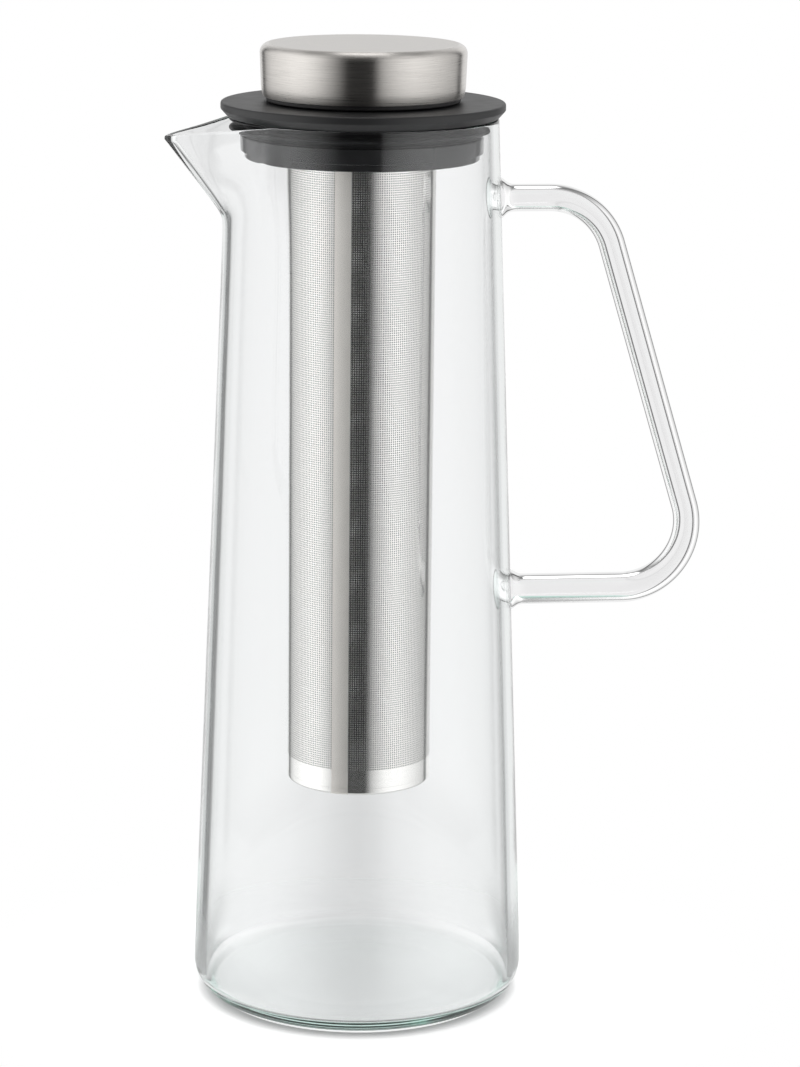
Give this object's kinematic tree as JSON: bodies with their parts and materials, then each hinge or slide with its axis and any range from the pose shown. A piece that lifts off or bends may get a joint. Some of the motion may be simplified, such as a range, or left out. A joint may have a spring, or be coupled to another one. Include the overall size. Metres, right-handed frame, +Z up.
{
  "type": "fruit infuser pitcher",
  "caption": "Tall tapered glass pitcher with a pulled spout, a bent glass rod handle and a stoppered lid that holds a perforated steel infuser.",
  "frame": {"origin": "on the table, at the jug's axis", "axes": "+Z up along the jug's axis, +X from the axis towards the handle, the spout on -X"},
  "size_m": [0.1693, 0.1042, 0.3003],
  "materials": {
    "glass": "clear borosilicate",
    "lid_plastic": "satin black",
    "silicone": "matt black",
    "infuser_steel": "bright perforated sheet",
    "cap_steel": "brushed round the cap"
  },
  "bodies": {
    "jug": {"glass_jug": "glass", "glass_handle": "glass"},
    "lid": {"lid_collar": "lid_plastic", "lid_seal": "silicone"},
    "infuser": {"infuser_rim": "infuser_steel", "infuser_sleeve": "infuser_steel", "infuser_base": "infuser_steel"},
    "cap": {"cap_shell": "cap_steel", "cap_liner": "lid_plastic", "cap_seal": "silicone"}
  },
  "joints": [
    {"name": "lid_lift", "type": "slide", "parent": "jug", "child": "lid", "axis": [0, 0, 1], "range_m": [0, 0.22]},
    {"name": "infuser_lift", "type": "slide", "parent": "lid", "child": "infuser", "axis": [0, 0, 1], "range_m": [0, 0.22]},
    {"name": "cap_lift", "type": "slide", "parent": "infuser", "child": "cap", "axis": [0, 0, 1], "range_m": [0, 0.05]}
  ]
}
